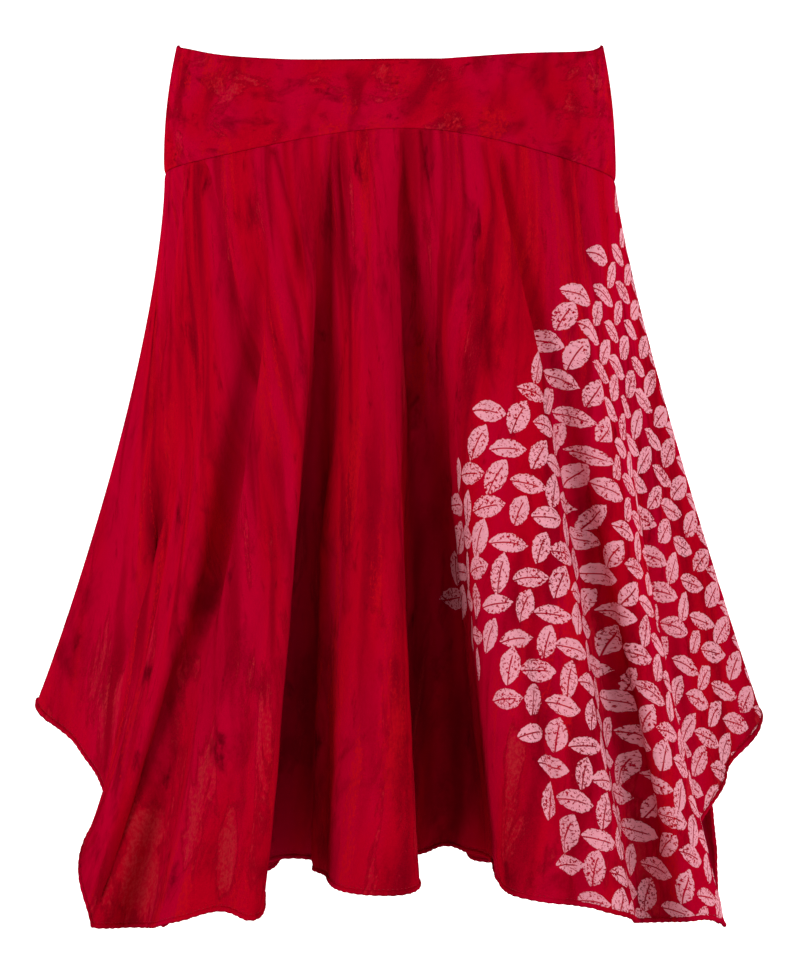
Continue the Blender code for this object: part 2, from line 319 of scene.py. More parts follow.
def steady_slope(index, column, towards):
    """A column's change for each millimetre between fold lines, which never makes it overshoot.

    A corner of the hem keeps a slope of its own on each side.
    """
    before, line, after = fold_line(index - 1), fold_line(index), fold_line(index + 1)
    back = (getattr(line, column) - getattr(before, column)) / reach(index - 1)
    ahead = (getattr(after, column) - getattr(line, column)) / reach(index)
    if line.corner and column == "z":
        return ahead if towards > 0 else back
    return 2 * back * ahead / (back + ahead) if back * ahead > 0 else 0.0


def along_folds(place, column):
    """A column of the table at any place between two fold lines."""
    index = math.floor(place)
    length = reach(index)
    return hermite(
        getattr(fold_line(index), column),
        steady_slope(index, column, 1) * length,
        getattr(fold_line(index + 1), column),
        steady_slope(index + 1, column, -1) * length,
        place - index,
    )


def full_point(place):
    """The folds in plan at the full length, as one smooth curve round the body."""
    index = math.floor(place)
    start, end = fold_line(index), fold_line(index + 1)
    start_way, end_way = math.radians(start.faces), math.radians(end.faces)
    start_speed = start.spread * reach(index)
    end_speed = end.spread * reach(index)
    (start_x, start_y), (end_x, end_y) = full_corner(index), full_corner(index + 1)
    share = place - index
    x = hermite(start_x, start_speed * math.cos(start_way), end_x, end_speed * math.cos(end_way), share)
    y = hermite(start_y, start_speed * math.sin(start_way), end_y, end_speed * math.sin(end_way), share)
    return x, y


def panel_points(places, downs):
    """The points of a skirt panel, a row for each share of the way down from the yoke seam to the hem."""
    tops = np.array([yoke_point(along_folds(place, "around"), 1.0) for place in places])
    fulls = np.array([full_point(place) for place in places])
    hems = np.array([along_folds(place, "z") for place in places])
    bows = np.array([along_folds(place, "bow") for place in places])
    drop = tops[:, 2] - hems
    z = tops[:, 2] - drop * downs[:, None]
    out = ((tops[:, 2] - z) / (FULL_LENGTH + tops[:, 2])) ** bows
    plan = tops[:, :2] + (fulls - tops[:, :2]) * out[:, :, None]
    return np.dstack([plan, z])


def even_places(first, last, count):
    """Places between two fold lines that are evenly spaced along the hem."""
    dense = np.linspace(first, last, (last - first) * HEM_STEPS + 1)
    hem = panel_points(dense, np.array([1.0]))[0]
    run = np.concatenate([[0.0], np.cumsum(np.linalg.norm(np.diff(hem, axis=0), axis=1))])
    return np.interp(np.linspace(0.0, run[-1], count + 1), run, dense)


def shares_with_lips(length, rows):
    """Shares of a length, evenly spaced but for the rows that round off its two edges."""
    lips = np.array(LIPS) / length
    inner = np.linspace(lips[-1], 1 - lips[-1], rows + 1 - 2 * (len(LIPS) - 1))
    return np.concatenate([lips[:-1], inner, 1 - lips[-2::-1]])


def unit(vectors):
    return vectors / np.linalg.norm(vectors, axis=-1, keepdims=True)


def grid_normals(points):
    """The outward normals of a grid of points whose rows go down and whose columns go round to the right."""
    fall = np.gradient(points, axis=0)
    along = np.gradient(points, axis=1)
    return unit(np.cross(fall, along))


def running(points, axis):
    """How far each point lies along its row or column, from the first one."""
    steps = np.linalg.norm(np.diff(points, axis=axis), axis=-1)
    run = np.cumsum(steps, axis=axis)
    return np.insert(run, 0, 0.0, axis=axis)


def smooth_step(value):
    t = np.clip(value, 0.0, 1.0)
    return t * t * (3 - 2 * t)


def crease_relief(places, across, drop, creases):
    """How far the creases move each point of a panel outwards."""
    relief = np.zeros_like(drop)
    for crease in creases:
        column = int(np.argmin(np.abs(places - (crease.start + crease.end) / 2)))
        share = (drop[:, column] - crease.top) / (crease.foot - crease.top)
        line = crease.start + (crease.end - crease.start) * np.clip(share, 0.0, 1.0)
        middle = np.array([np.interp(place, places, row) for place, row in zip(line, across)])
        fade = smooth_step(share / crease.lead) * smooth_step((1 - share) / crease.trail)
        relief -= crease.depth * fade[:, None] * np.exp(-(((across - middle[:, None]) / crease.width) ** 2))
    return relief


def wander(across, drop, cloth):
    """The small unevenness of cloth that hangs free, none of it at the seam that it hangs from."""
    flat = zip(across.ravel() / WANDER_ACROSS, drop.ravel() / WANDER_DOWN)
    found = np.array([
        noise.noise(Vector((u, v, cloth))) + 0.5 * noise.noise(Vector((2 * u, 2 * v, cloth + WANDER_FINER)))
        for u, v in flat
    ])
    return found.reshape(across.shape) * WANDER * smooth_step(drop / WANDER_START)


def seam_ditch(distance):
    return -SEAM_DITCH * np.exp(-((distance / SEAM_DITCH_WIDTH) ** 2))


def hem_relief(across, to_hem, cloth):
    """The groove along the hem's stitches, and the small waves of its edge."""
    groove = -HEM_DITCH * np.exp(-(((to_hem - STITCH_RISE) / HEM_DITCH_WIDTH) ** 2))
    row = cloth * HEM_WAVE_SEED
    waves = np.array([noise.noise(Vector((u / HEM_WAVE_LENGTH, row, HEM_WAVE_SLICE))) for u in across[-1]])
    return groove + HEM_WAVE * waves * (1 - smooth_step(to_hem / HEM_WAVE_REACH))


def add_piece(name, points, faces, material):
    """A smooth mesh piece from points in millimetres."""
    mesh = bpy.data.meshes.new(name)
    mesh.from_pydata((np.asarray(points) * MM).tolist(), [], [list(face) for face in faces])
    mesh.shade_smooth()
    mesh.materials.append(material)
    piece = bpy.data.objects.new(name, mesh)
    bpy.context.scene.collection.objects.link(piece)
    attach(piece, "root")
    return piece


def keep_vectors(mesh, attribute, values):
    """Stores a vector with each of a mesh's points, for its material."""
    layer = mesh.attributes.new(attribute, "FLOAT_VECTOR", "POINT")
    layer.data.foreach_set("vector", np.asarray(values, dtype=np.float32).ravel())


def at_runs(run, values, wanted):
    """Values along a line, read off at the wanted distances along it."""
    return np.stack([np.interp(wanted, run, column) for column in np.asarray(values).T], axis=-1)


def rings_round(centre, out, down, wide, high, sides):
    """The points of oval rings round a line, one ring for each of its points."""
    turns = np.arange(sides) * 2 * math.pi / sides
    aside = out[:, None] * (wide[:, None] * np.cos(turns))[:, :, None]
    below = down[:, None] * (high[:, None] * np.sin(turns))[:, :, None]
    return (centre[:, None] + aside + below).reshape(-1, 3)


def hem_roll(name, edge, cloth, material):
    """The roll along a hem. edge holds its line, the ways out and down there, and the cloth's place."""
    line, out, down, fall = edge
    run = running(line, 0)
    wanted = np.linspace(0.0, run[-1], round(run[-1] / ROLL_STEP) + 1)
    line, out, down, fall = (at_runs(run, values, wanted) for values in (line, out, down, fall))
    out, down = unit(out), unit(down)
    tight = np.array([noise.noise(Vector((s / ROLL_UNEVEN_LENGTH, cloth, ROLL_SLICE))) for s in wanted])
    puckers = np.sin(2 * math.pi * wanted / PUCKER_PITCH + PUCKER_DRIFT * tight)
    swell = 1 + PUCKER * puckers + ROLL_UNEVEN * tight
    centre = line - down * ROLL_LIFT
    points = rings_round(centre, out, down, ROLL_OUT * swell, ROLL_DOWN * swell, ROLL_SIDES)
    count = len(wanted)
    index = np.arange(count * ROLL_SIDES).reshape(count, ROLL_SIDES)
    around = np.roll(index, -1, axis=1)
    faces = np.stack([index[:-1], around[:-1], around[1:], index[1:]], axis=-1).reshape(-1, 4).tolist()
    faces += [index[0][::-1].tolist(), index[-1].tolist()]
    piece = add_piece(name, points, faces, material)
    keep_vectors(piece.data, "fall", np.repeat(fall, ROLL_SIDES, axis=0))
    return piece


def stitch_row(name, edge, material):
    """A row of short stitches that dip into the cloth at both ends, a little above a hem."""
    line, out, down, _ = edge
    run = running(line, 0)
    starts = np.arange(STITCH_PITCH / 2, run[-1] - STITCH_PITCH / 2, STITCH_PITCH)
    shares = np.linspace(-0.5, 0.5, STITCH_RINGS)
    wanted = (starts[:, None] + STITCH_LENGTH * shares).ravel()
    line, out, down = (at_runs(run, values, wanted) for values in (line, out, down))
    out, down = unit(out), unit(down)
    slim = np.tile(np.sqrt(1 - (2 * shares) ** 2 * STITCH_TAPER), len(starts))
    sunk = np.tile((2 * shares) ** 2, len(starts)) * STITCH_RADIUS * STITCH_SINK
    centre = line - down * STITCH_RISE + out * (PANEL_CLOTH / 2 - HEM_DITCH + STITCH_STAND - sunk)[:, None]
    points = rings_round(centre, out, down, STITCH_RADIUS * slim, STITCH_RADIUS * slim, STITCH_SIDES)
    index = np.arange(len(wanted) * STITCH_SIDES).reshape(len(starts), STITCH_RINGS, STITCH_SIDES)
    around = np.roll(index, -1, axis=2)
    sides = np.stack([index[:, :-1], around[:, :-1], around[:, 1:], index[:, 1:]], axis=-1).reshape(-1, 4)
    ends = np.concatenate([index[:, 0, ::-1], index[:, -1]])
    return add_piece(name, points, sides.tolist() + ends.tolist(), material)


def shell(name, middle, normals, wall, fall, flat, material):
    """A closed thin shell round a grid of middle points. Its outer and inner sides share their rim.

    fall and flat hold each point's place on the cloth, in metres, for the material.
    """
    rows, columns = middle.shape[:2]
    outer = np.arange(rows * columns).reshape(rows, columns)
    inner = outer.copy()
    count = (rows - 2) * (columns - 2)
    inner[1:-1, 1:-1] = rows * columns + np.arange(count).reshape(rows - 2, columns - 2)
    half = np.full((rows, columns, 1), wall / 2)
    half[[0, -1]] = 0.0
    half[:, [0, -1]] = 0.0
    for lip in (1, -2):
        half[lip, 1:-1] = wall * LIP_WALL
        half[1:-1, lip] = np.minimum(half[1:-1, lip], wall * SIDE_LIP_WALL)
    outside = (middle + normals * half).reshape(-1, 3)
    inside = (middle - normals * half)[1:-1, 1:-1].reshape(-1, 3)
    corners = (outer[:-1, :-1], outer[1:, :-1], outer[1:, 1:], outer[:-1, 1:])
    outer_faces = np.stack(corners, axis=-1).reshape(-1, 4)
    corners = (inner[:-1, :-1], inner[:-1, 1:], inner[1:, 1:], inner[1:, :-1])
    inner_faces = np.stack(corners, axis=-1).reshape(-1, 4)
    faces = np.concatenate([outer_faces, inner_faces])
    piece = add_piece(name, np.concatenate([outside, inside]), faces.tolist(), material)
    for attribute, grid in (("fall", fall), ("flat", flat)):
        values = np.concatenate([grid.reshape(-1, 3), grid[1:-1, 1:-1].reshape(-1, 3)])
        keep_vectors(piece.data, attribute, values)
    side = piece.data.attributes.new("outside", "FLOAT", "FACE")
    side.data.foreach_set("value", np.repeat([1.0, 0.0], len(outer_faces)).astype(np.float32))
    return piece


def flat_cut(across, drop, zero_column):
    """The cloth laid flat as the sector that a flared panel is cut to, in metres.

    The yoke seam is its inner arc. x is the distance from the line of the zero column, and y is down.
    """
    widths = across[:, -1]
    length = drop.mean(axis=1)
    flare = (widths[-1] - widths[0]) / (length[-1] - length[0])
    radius = widths[0] / flare
    radii = radius + drop
    angles = (across - across[:, [zero_column]]) / radii
    x = radii * np.sin(angles)
    y = radii * np.cos(angles) - radius
    return np.dstack([x, y, np.zeros_like(x)]) * MM


def cloth_places(across, drop, cloth):
    """Each point's place on its cloth, in metres, and the cloth's number."""
    return np.dstack([across * MM, drop * MM, np.full_like(drop, cloth)])


def panel_shell(name, first, last, creases, cloth, material):
    """A panel's shell, and its hem: the line, the ways out and down there, and the cloth's place."""
    inner_places = even_places(first, last, PANEL_COLUMNS)
    places = np.concatenate([[first - PAST_SEAM], inner_places, [last + PAST_SEAM]])
    points = panel_points(places, shares_with_lips(PANEL_LENGTH, PANEL_ROWS))
    normals = grid_normals(points)[:, 1:-1]
    points = points[:, 1:-1]
    across = running(points, 1)
    drop = running(points, 0)
    to_side = np.minimum(across, across[:, -1:] - across)
    relief = crease_relief(inner_places, across, drop, creases) + wander(across, drop, cloth)
    relief *= smooth_step(to_side / SEAM_FADE)
    relief += seam_ditch(drop) + seam_ditch(to_side) + hem_relief(across, drop[-1:] - drop, cloth)
    points = points + normals * relief[:, :, None]
    normals = grid_normals(points)
    widths = across[:, -1:]
    fanned = (across - widths / 2) * (widths[-1] / widths) ** STREAK_FAN
    fall = cloth_places(fanned, drop, cloth)
    right_seam_column = 0 if first else -1
    flat = flat_cut(across, drop, right_seam_column)
    piece = shell(name, points, normals, PANEL_CLOTH, fall, flat, material)
    edge = points[-1], normals[-1], points[-1] - points[-HEM_WAY_ROWS], fall[-1]
    return piece, edge


class Graph:
    """A material's nodes, added and joined with short calls that give sockets back."""

    def __init__(self, name):
        self.material = bpy.data.materials.new(name)
        self.material.use_nodes = True
        self.tree = self.material.node_tree
        self.surface = self.tree.nodes["Principled BSDF"]

    def node(self, kind, inputs, **settings):
        made = self.tree.nodes.new("ShaderNode" + kind)
        for setting, value in settings.items():
            setattr(made, setting, value)
        for socket, value in inputs.items():
            self.feed(made.inputs[socket], value)
        return made

    def feed(self, socket, value):
        if isinstance(value, bpy.types.NodeSocket):
            self.tree.links.new(value, socket)
        else:
            socket.default_value = value

    def attribute(self, name, output="Vector"):
        return self.node("Attribute", {}, attribute_name=name).outputs[output]

    def math(self, operation, *values):
        return self.node("Math", dict(enumerate(values)), operation=operation).outputs[0]

    def scaled(self, vector, x, y, z=1.0):
        return self.node("VectorMath", {0: vector, 1: (x, y, z)}, operation="MULTIPLY").outputs[0]

    def vector(self, operation, first, second=(0.0, 0.0, 0.0)):
        return self.node("VectorMath", {0: first, 1: second}, operation=operation).outputs[0]

    def parts(self, vector):
        return self.node("SeparateXYZ", {0: vector}).outputs[:]

    def curve(self, value, points):
        """A smooth curve through points, whose first numbers rise from 0 to 1."""
        made = self.node("FloatCurve", {"Value": value})
        line = made.mapping.curves[0]
        for place, height in points[1:-1]:
            line.points.new(place, height)
        for point, place in zip(line.points, points):
            point.location = place
        made.mapping.update()
        return made.outputs[0]

    def noise(self, vector, detail, roughness=0.5, distortion=0.0):
        inputs = {"Vector": vector, "Scale": 1.0, "Detail": detail, "Roughness": roughness,
                  "Distortion": distortion}
        return self.node("TexNoise", inputs).outputs[0]

    def band(self, value, low, high):
        """0 below low, 1 above high and smooth between them."""
        inputs = {"Value": value, "From Min": low, "From Max": high}
        return self.node("MapRange", inputs, interpolation_type="SMOOTHSTEP").outputs[0]

    def blend(self, factor, first, second):
        inputs = {0: factor, 6: first, 7: second}
        return self.node("Mix", inputs, data_type="RGBA").outputs[2]


def linear(red, green, blue):
    """A colour from its 0 to 255 display values, as the linear values that a shader takes."""
    steps = [value / 255 for value in (red, green, blue)]
    return (*(s / 12.92 if s <= 0.04045 else ((s + 0.055) / 1.055) ** 2.4 for s in steps), 1.0)


CRIMSON = linear(178, 0, 40)
BLOOD_RED = linear(176, 0, 26)
DEEP_RED = linear(136, 0, 22)
DARK_RED = linear(108, 0, 16)
ORANGE_RED = linear(186, 9, 24)
STAIN = linear(178, 32, 42)
MAROON = linear(84, 0, 12)
INK = linear(236, 160, 174)

# The dye of the panels and of the yoke. cloths: the numbers of the cloths dyed so. width, length: the size
# of its streaks. stain_size: how wide the watery stains are. stain_from, stain_to: the depths under the
# upper edge between which they grow, by stain_gain.
Dye = namedtuple("Dye", "cloths width length stain_size stain_from stain_to stain_gain")
PANEL_DYE = Dye((FRONT_PANEL, BACK_PANEL), 30, 290, 24, 230, 520, 0.06)
YOKE_DYE = Dye((FRONT_YOKE, BACK_YOKE), 20, 60, 30, 46, 4, 0.06)

# How closely the streaks follow the flare of the cloth: 0 straight down, 1 along its folds
STREAK_FAN = 0.88

# The layers of the dye, each a noise drawn out down the cloth. wide, long: its size as shares of the dye's
# streaks. slice: the part of the noise that it takes. low, high: it comes in between these values of the
# noise. strength: how much of its colour it lays over the layers under it. The stains' width is the dye's.
Layer = namedtuple("Layer", "color wide long slice detail roughness distortion low high strength")
GROUND = Layer(BLOOD_RED, 2.0, 0.9, 1.3, 2, 0.5, 0.0, 0.38, 0.62, 1.0)
DEEP = Layer(DEEP_RED, 1.0, 0.6, 2.7, 2, 0.5, 0.4, 0.46, 0.72, 0.9)
BLOTCHED = Layer(DARK_RED, 1.5, 0.24, 4.4, 5, 0.62, 0.5, 0.50, 0.74, 0.7)
STREAKED = Layer(ORANGE_RED, 0.7, 0.5, 3.9, 3, 0.55, 0.3, 0.54, 0.62, 0.8)
STAINED = Layer(STAIN, None, 0.34, 6.7, 5, 0.62, 0.5, 0.640, 0.800, 0.8)
SPOTTED = Layer(MAROON, 0.9, 0.16, 8.9, 3, 0.6, 0.3, 0.60, 0.78, 0.8)

# Where there are orange red streaks at all. This layer has no colour of its own.
STREAKED_AT_ALL = Layer(None, 3.6, 0.8, 5.1, 1, 0.5, 0.0, 0.44, 0.60, None)

# How grainy the edges of the layers are, and of the orange red streaks and of the stains
GRAIN = 0.16
STREAK_GRAIN = 0.30
STAIN_GRAIN = 0.34

# The fine mottle of the cloth: its size and slice of the noise, and how much it changes the brightness. The
# orange red and the stains are worn down to WORN_LEFT where the mottle is below WORN_BELOW, and whole above
# WORN_UP_TO.
MOTTLE_WIDTH = 2.0
MOTTLE_LENGTH = 2.8
MOTTLE_SLICE = 2.3
MOTTLE_GAIN = 0.26
MOTTLE_BASE = 0.87
WORN_BELOW = 0.34
WORN_UP_TO = 0.62
WORN_LEFT = 0.2

# The dark rim of a stain: between which values of its noise it comes and goes, and how strong it is
RIM_FROM = 0.590
RIM_TOP = 0.660
RIM_TO = 0.690
RIM_STRENGTH = 0.6

# The large stains and dark blotches: where each lies across and down its cloth, half its width and height,
# and how strong it is. It begins at MARK_OUTER times its half size and is full at MARK_INNER times.
# CLOTHS_APART is what keeps it to its own cloth.
Mark = namedtuple("Mark", "cloth across down half_width half_height rise")
STAINS = [
    Mark(FRONT_PANEL, -508, 519, 38, 46, 0.22),
    Mark(FRONT_PANEL, -440, 494, 13, 60, 0.22),
    Mark(FRONT_PANEL, -402, 512, 9, 34, 0.22),
    Mark(FRONT_PANEL, -688, 384, 34, 48, 0.20),
    Mark(FRONT_PANEL, 303, 477, 14, 50, 0.20),
    Mark(FRONT_YOKE, 93, 20, 34, 20, 0.15),
    Mark(FRONT_YOKE, 258, 12, 26, 12, 0.13),
    Mark(FRONT_YOKE, 59, 77, 9, 20, 0.15),
    Mark(FRONT_YOKE, 384, 31, 20, 18, 0.13),
]
BLOTCHES = [
    Mark(FRONT_PANEL, -314, 46, 36, 16, 0.13),
    Mark(FRONT_PANEL, -56, 44, 12, 20, 0.13),
    Mark(FRONT_PANEL, 79, 64, 20, 14, 0.13),
]
MARK_OUTER = 1.5
MARK_INNER = 0.4
CLOTHS_APART = 100.0

# The print: worn leaf-shaped dabs in two lattices that lean opposite ways. Each dab strays from its place
# by up to half of DAB_STRAY, and from its lean by up to half of DAB_TURN. Its half length and half width
# vary from the share LEAST of those given by the share MORE.
PRINT_CELL = (38.0, 28.0)
PRINT_LEAN = 33.0
DAB_STRAY = (4.0, 3.2, 0.0)
DAB_TURN = 22.0
DAB_HALF_LENGTH = 14.8
DAB_LENGTH_LEAST = 0.88
DAB_LENGTH_MORE = 0.22
DAB_HALF_WIDTH = 7.6
DAB_WIDTH_LEAST = 0.86
DAB_WIDTH_MORE = 0.26
DAB_POINTED = 2.3
DAB_EDGE = 0.45
DAB_ROUGH = 2.6
DAB_ROUGH_SCALE = 0.34
LUCK_SLICE = 1.3
LUCK_SLICE_STEP = 3.7

# The midrib of a dab: how it bends, at which distances from its line it fades out, and the shares of the
# dab's half length between which it ends
RIB_BEND = 0.006
RIB_FROM = 0.25
RIB_TO = 0.75
RIB_END_FROM = 0.50
RIB_END_TO = 0.62

# The worn specks of the print: how many units of the noise a millimetre has, between which of its values
# they come in, and how patchy they are. The ink covers by INK_FULL and INK_THINNED times the noise.
SPECK_SCALE = 0.50
SPECK_FROM = 0.655
SPECK_TO = 0.685
PATCH_SCALE = 0.045
PATCH_GAIN = 0.22
INK_FULL = 1.16
INK_THINNED = -0.4

# How far the print reaches from the right side seam at each height of the flat cloth, as shares of
# PRINT_HEIGHT and PRINT_REACH, and how much its outline strays
PRINT_HEIGHT = 600.0
PRINT_REACH = 400.0
PRINT_STRAY = 30.0
PRINT_FRONT = [(0.0, 0.05), (0.07, 0.17), (0.20, 0.48), (0.27, 0.78), (0.36, 0.95), (0.5, 0.88),
               (0.7, 0.98), (1.0, 1.0)]
PRINT_BACK = [(0.0, 0.07), (0.15, 0.3), (0.4, 0.62), (0.7, 0.72), (1.0, 0.8)]

# The knit's grain: its size and slice of the noise, how high it and the print stand, and its roughness
KNIT_WIDTH = 0.9
KNIT_LENGTH = 1.8
KNIT_SLICE = 4.1
KNIT_HEIGHT = 0.25
KNIT_STRENGTH = 0.35
PRINT_RISE = 0.6
CLOTH_ROUGHNESS = 0.85

# The sewing thread. Its darker colour is painted shade, laid in noise patches for the grooves where its
# plies meet.
PLY_SIZE = 0.5
PLY_FROM = 0.4
PLY_TO = 0.6
THREAD_PAINTED_SHADE = linear(120, 0, 16)
THREAD_RED = linear(176, 4, 34)
THREAD_ROUGHNESS = 0.55
THREAD_GLOSS = 0.2


def dyed_jersey(name, dye):
    """Hand-dyed jersey: crimson with streaks, blotches, watery stains and maroon flecks."""
    graph = Graph(name)
    fall = graph.attribute("fall")
    down = graph.parts(fall)[1]

    def drawn_out(layer, width):
        place = graph.scaled(fall, 1 / (width * MM), 1 / (layer.long * dye.length * MM), layer.slice)
        return graph.noise(place, layer.detail, layer.roughness, layer.distortion)

    def streaks(layer):
        return drawn_out(layer, layer.wide * dye.width)

    def marked(value, marks):
        """The value, raised around each mark of this dye's cloths."""
        for mark in marks:
            if mark.cloth in dye.cloths:
                middle = (mark.across * MM, mark.down * MM, float(mark.cloth))
                offset = graph.vector("SUBTRACT", fall, middle)
                size = 1 / (mark.half_width * MM), 1 / (mark.half_height * MM), CLOTHS_APART
                offset = graph.scaled(offset, *size)
                away = graph.node("VectorMath", {0: offset}, operation="LENGTH").outputs["Value"]
                near = graph.band(away, MARK_OUTER, MARK_INNER)
                value = graph.math("MULTIPLY_ADD", near, mark.rise, value)
        return value

    place = graph.scaled(fall, 1 / (MOTTLE_WIDTH * MM), 1 / (MOTTLE_LENGTH * MM), MOTTLE_SLICE)
    mottle = graph.noise(place, detail=3, roughness=0.7)

    def laid_over(color, layer, value, grain=GRAIN, share=None):
        """A layer's colour over another, with grainy edges, as where dye has run between the threads."""
        grainy = graph.math("MULTIPLY_ADD", graph.math("SUBTRACT", mottle, 0.5), grain, value)
        shown = graph.band(grainy, layer.low, layer.high)
        if share is not None:
            shown = graph.math("MULTIPLY", shown, share)
        return graph.blend(graph.math("MULTIPLY", shown, layer.strength), color, layer.color)

    color = laid_over(CRIMSON, GROUND, streaks(GROUND))
    color = laid_over(color, DEEP, streaks(DEEP))
    color = laid_over(color, BLOTCHED, marked(streaks(BLOTCHED), BLOTCHES))

    worn = graph.math("MULTIPLY_ADD", graph.band(mottle, WORN_BELOW, WORN_UP_TO), 1 - WORN_LEFT, WORN_LEFT)
    at_all = graph.band(streaks(STREAKED_AT_ALL), STREAKED_AT_ALL.low, STREAKED_AT_ALL.high)
    color = laid_over(color, STREAKED, streaks(STREAKED), STREAK_GRAIN, graph.math("MULTIPLY", at_all, worn))

    low_down = graph.band(down, dye.stain_from * MM, dye.stain_to * MM)
    pool = drawn_out(STAINED, dye.stain_size)
    pool = marked(graph.math("MULTIPLY_ADD", low_down, dye.stain_gain, pool), STAINS)
    inside_rim = graph.math("SUBTRACT", 1.0, graph.band(pool, RIM_TOP, RIM_TO))
    rim = graph.math("MULTIPLY", graph.band(pool, RIM_FROM, RIM_TOP), inside_rim)
    color = graph.blend(graph.math("MULTIPLY", rim, RIM_STRENGTH), color, DEEP_RED)
    color = laid_over(color, STAINED, pool, STAIN_GRAIN, worn)

    color = laid_over(color, SPOTTED, streaks(SPOTTED))
    value = graph.math("MULTIPLY_ADD", mottle, MOTTLE_GAIN, MOTTLE_BASE)
    color = graph.node("HueSaturation", {"Color": color, "Value": value}).outputs[0]
    return graph, fall, color


def print_dabs(graph, flat, shift, lean):
    """One lattice of the print: 1 on its dabs, 0 off them."""
    cell = (*PRINT_CELL, 1.0)
    inverse = tuple(1 / size for size in cell)
    offset = (PRINT_CELL[0] * shift, PRINT_CELL[1] * shift, 0.0)
    half = (0.5, 0.5, 0.0)
    place = graph.vector("MULTIPLY", graph.vector("ADD", flat, offset), inverse)
    which = graph.vector("FLOOR", place)
    draw = graph.vector("ADD", which, (0.0, 0.0, LUCK_SLICE_STEP * shift + LUCK_SLICE))
    luck = graph.node("TexWhiteNoise", {"Vector": draw}, noise_dimensions="3D").outputs["Color"]
    luck_x, luck_y, luck_turn = graph.parts(luck)

    stray = graph.vector("MULTIPLY", graph.vector("SUBTRACT", luck, (0.5, 0.5, 0.5)), DAB_STRAY)
    local = graph.vector("MULTIPLY", graph.vector("SUBTRACT", graph.vector("FRACTION", place), half), cell)
    local = graph.vector("ADD", local, stray)
    least_turn = math.radians(lean - DAB_TURN / 2)
    turn = graph.math("MULTIPLY_ADD", luck_turn, math.radians(DAB_TURN), least_turn)
    turned = graph.node("VectorRotate", {"Vector": local, "Angle": turn}, rotation_type="Z_AXIS").outputs[0]
    along, aside, _ = graph.parts(turned)

    length = graph.math("MULTIPLY_ADD", luck_x, DAB_LENGTH_MORE, DAB_LENGTH_LEAST)
    share = graph.math("DIVIDE", along, graph.math("MULTIPLY", length, DAB_HALF_LENGTH))
    bulge = graph.math("SUBTRACT", 1.0, graph.math("POWER", graph.math("ABSOLUTE", share), DAB_POINTED))
    width = graph.math("MULTIPLY_ADD", luck_y, DAB_WIDTH_MORE, DAB_WIDTH_LEAST)
    half_width = graph.math("MULTIPLY", bulge, graph.math("MULTIPLY", width, DAB_HALF_WIDTH))
    inside = graph.math("SUBTRACT", half_width, graph.math("ABSOLUTE", aside))
    rough = graph.noise(graph.scaled(flat, DAB_ROUGH_SCALE, DAB_ROUGH_SCALE), detail=2)
    inside = graph.math("MULTIPLY_ADD", graph.math("SUBTRACT", rough, 0.5), DAB_ROUGH, inside)
    dab = graph.band(inside, 0.0, DAB_EDGE)

    bend = graph.math("MULTIPLY", graph.math("MULTIPLY", along, along), RIB_BEND)
    off_rib = graph.band(graph.math("ABSOLUTE", graph.math("SUBTRACT", aside, bend)), RIB_FROM, RIB_TO)
    past_rib = graph.band(share, RIB_END_FROM, RIB_END_TO)
    dab = graph.math("MULTIPLY", dab, graph.math("MAXIMUM", off_rib, past_rib))

    middle = graph.vector("MULTIPLY", graph.vector("ADD", which, half), cell)
    middle_x, middle_y, _ = graph.parts(graph.vector("SUBTRACT", middle, offset))
    height = graph.math("DIVIDE", middle_y, PRINT_HEIGHT)
    front = graph.math("MULTIPLY", graph.curve(height, PRINT_FRONT), -PRINT_REACH)
    back = graph.math("MULTIPLY", graph.curve(height, PRINT_BACK), PRINT_REACH)
    strayed = graph.math("MULTIPLY_ADD", luck_turn, PRINT_STRAY, -PRINT_STRAY / 2)
    strayed = graph.math("ADD", middle_x, strayed)
    past_front = graph.math("GREATER_THAN", strayed, front)
    within = graph.math("MULTIPLY", past_front, graph.math("LESS_THAN", strayed, back))
    return graph.math("MULTIPLY", dab, within)


def add_print(graph, color):
    """The worn pink print on the outside of the cloth, in dabs that the cloth shows through in specks."""
    flat = graph.scaled(graph.attribute("flat"), 1 / MM, 1 / MM)
    first, second = print_dabs(graph, flat, 0.0, PRINT_LEAN), print_dabs(graph, flat, 0.5, -PRINT_LEAN)
    dabs = graph.math("MAXIMUM", first, second)
    place = graph.scaled(flat, SPECK_SCALE, SPECK_SCALE)
    specks = graph.noise(place, detail=4, roughness=0.66, distortion=0.5)
    patchy = graph.noise(graph.scaled(flat, PATCH_SCALE, PATCH_SCALE), detail=1)
    specks = graph.math("MULTIPLY_ADD", patchy, PATCH_GAIN, specks)
    solid = graph.math("SUBTRACT", 1.0, graph.band(specks, SPECK_FROM, SPECK_TO))
    dabs = graph.math("MULTIPLY", dabs, solid)
    dabs = graph.math("MULTIPLY", dabs, graph.attribute("outside", "Fac"))
    covers = graph.math("MULTIPLY_ADD", specks, INK_THINNED, INK_FULL)
    return graph.blend(graph.math("MULTIPLY", dabs, covers), color, INK), dabs


def finish_cloth(graph, fall, color, relief=None):
    """A dull knit with a fine grain along its wales, raised a little where it is printed."""
    surface = graph.surface
    graph.feed(surface.inputs["Base Color"], color)
    surface.inputs["Roughness"].default_value = CLOTH_ROUGHNESS
    surface.inputs["Specular IOR Level"].default_value = 0.0
    place = graph.scaled(fall, 1 / (KNIT_WIDTH * MM), 1 / (KNIT_LENGTH * MM), KNIT_SLICE)
    grain = graph.noise(place, detail=2, roughness=0.6)
    if relief is not None:
        grain = graph.math("MULTIPLY_ADD", relief, PRINT_RISE, grain)
    bump = graph.node("Bump", {"Height": grain, "Strength": KNIT_STRENGTH, "Distance": KNIT_HEIGHT * MM})
    graph.feed(surface.inputs["Normal"], bump.outputs[0])
    return graph.material


